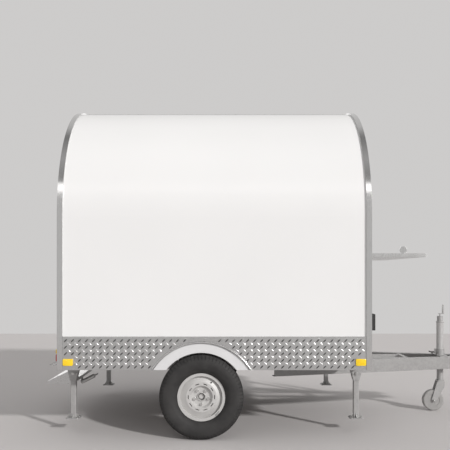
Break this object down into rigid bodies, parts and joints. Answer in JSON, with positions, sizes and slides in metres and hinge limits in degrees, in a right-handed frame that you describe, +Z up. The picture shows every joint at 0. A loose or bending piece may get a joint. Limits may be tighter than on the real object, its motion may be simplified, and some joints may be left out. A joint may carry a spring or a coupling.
{
  "type": "food trailer",
  "caption": "Round-roofed white food trailer on one axle, with a drawbar and jockey wheel, rear door, serving hatches and fold-down shelves.",
  "frame": {"origin": "on the floor, on the centreline, at the middle of the overall length", "axes": "+X forwards towards the coupling, +Y left, +Z up"},
  "size_m": [3.6446, 2.0652, 2.476],
  "materials": {
    "white_panel": "satin",
    "trim_steel": "satin",
    "shelf_steel": "satin",
    "tread_plate": "satin",
    "tub_paint": "satin",
    "floor_board": "matte",
    "galvanised": "satin",
    "dark_metal": "satin",
    "rim_paint": "satin",
    "tyre": "matte",
    "grey_rubber": "matte",
    "window_glass": "gloss",
    "black_plastic": "matte",
    "amber_lens": "gloss",
    "red_lens": "gloss"
  },
  "bodies": {
    "trailer": {"axle_beam": "galvanised", "chassis_rails": "galvanised", "coupling_head": "galvanised", "coupling_lever": "dark_metal", "cross_members": "galvanised", "drawbar_rack": "galvanised", "drawbar_rails": "galvanised", "drawbar_supports": "galvanised", "floor_panel": "floor_board", "front_apron": "tread_plate", "front_edge_trim": "trim_steel", "front_hatch_rail": "trim_steel", "front_wall": "white_panel", "jockey_clamp": "dark_metal", "jockey_crank": "galvanised", "jockey_outer_tube": "galvanised", "left_panel": "white_panel", "left_skirt": "tread_plate", "left_wheel_tub": "tub_paint", "leg_brackets": "galvanised", "nose_plate": "galvanised", "power_inlet": "black_plastic", "rear_apron": "tread_plate", "rear_door_hinges": "trim_steel", "rear_edge_trim": "trim_steel", "rear_leg_springs": "galvanised", "rear_step": "tread_plate", "rear_wall": "white_panel", "right_panel": "white_panel", "right_skirt": "tread_plate", "right_wheel_tub": "tub_paint", "roof_panel": "white_panel", "shelf_hinges": "trim_steel", "side_hatch_rail": "trim_steel", "side_markers": "amber_lens", "side_sills": "galvanised", "tail_lamps": "red_lens", "trailing_arms": "galvanised", "wheel_arch_beads": "trim_steel"},
    "right_wheel": {"right_hub": "rim_paint", "right_rim": "rim_paint", "right_tyre": "tyre"},
    "left_wheel": {"left_hub": "rim_paint", "left_rim": "rim_paint", "left_tyre": "tyre"},
    "rear_right_leg": {"rear_right_leg": "galvanised"},
    "rear_left_leg": {"rear_left_leg": "galvanised"},
    "front_right_leg": {"front_right_leg": "galvanised"},
    "front_left_leg": {"front_left_leg": "galvanised"},
    "jockey_slide": {"jockey_inner_tube": "galvanised"},
    "jockey_swivel": {"jockey_fork": "galvanised"},
    "jockey_roller": {"jockey_wheel": "grey_rubber"},
    "rear_door": {"rear_door": "white_panel", "rear_door_glass": "window_glass", "rear_door_handle": "black_plastic"},
    "front_hatch": {"front_hatch": "white_panel"},
    "front_shelf": {"front_shelf": "shelf_steel", "front_shelf_knobs": "trim_steel"},
    "side_hatch": {"side_hatch": "white_panel"},
    "side_counter": {"side_counter": "shelf_steel"}
  },
  "joints": [
    {"name": "right_wheel_spin", "type": "hinge", "parent": "trailer", "child": "right_wheel", "pos_m": [-0.65725, -0.9495, 0.297], "axis": [0, 1, 0], "continuous": true},
    {"name": "left_wheel_spin", "type": "hinge", "parent": "trailer", "child": "left_wheel", "pos_m": [-0.65725, 0.9495, 0.297], "axis": [0, 1, 0], "continuous": true},
    {"name": "rear_right_leg_fold", "type": "hinge", "parent": "trailer", "child": "rear_right_leg", "pos_m": [-1.61025, -0.7225, 0.427], "axis": [0, -1, 0], "range_deg": [0, 90]},
    {"name": "rear_left_leg_fold", "type": "hinge", "parent": "trailer", "child": "rear_left_leg", "pos_m": [-1.61025, 0.7225, 0.427], "axis": [0, -1, 0], "range_deg": [0, 90]},
    {"name": "front_right_leg_fold", "type": "hinge", "parent": "trailer", "child": "front_right_leg", "pos_m": [0.47575, -0.7225, 0.427], "axis": [0, 1, 0], "range_deg": [0, 90]},
    {"name": "front_left_leg_fold", "type": "hinge", "parent": "trailer", "child": "front_left_leg", "pos_m": [0.47575, 0.7225, 0.427], "axis": [0, 1, 0], "range_deg": [0, 90]},
    {"name": "jockey_lift", "type": "slide", "parent": "trailer", "child": "jockey_slide", "axis": [0, 0, 1], "range_m": [-0.1, 0.08]},
    {"name": "jockey_turn", "type": "hinge", "parent": "jockey_slide", "child": "jockey_swivel", "pos_m": [1.33475, 0, 0.262], "axis": [0, 0, 1], "continuous": true},
    {"name": "jockey_spin", "type": "hinge", "parent": "jockey_swivel", "child": "jockey_roller", "pos_m": [1.27375, 0, 0.089], "axis": [0, 1, 0], "continuous": true},
    {"name": "rear_door_swing", "type": "hinge", "parent": "trailer", "child": "rear_door", "pos_m": [-1.66025, -0.35, 1.399], "axis": [0, 0, 1], "range_deg": [0, 120]},
    {"name": "front_hatch_lift", "type": "hinge", "parent": "trailer", "child": "front_hatch", "pos_m": [0.52975, 0, 2.182], "axis": [0, -1, 0], "range_deg": [0, 90]},
    {"name": "front_shelf_fold", "type": "hinge", "parent": "trailer", "child": "front_shelf", "pos_m": [0.52975, 0, 1.279], "axis": [0, 1, 0], "range_deg": [0, 90]},
    {"name": "side_hatch_lift", "type": "hinge", "parent": "trailer", "child": "side_hatch", "pos_m": [-0.56525, 0.66224, 2.26449], "axis": [1, 0, 0], "range_deg": [0, 85]},
    {"name": "side_counter_lift", "type": "hinge", "parent": "trailer", "child": "side_counter", "pos_m": [-0.56525, 0.995, 1.199], "axis": [1, 0, 0], "range_deg": [0, 90]}
  ]
}
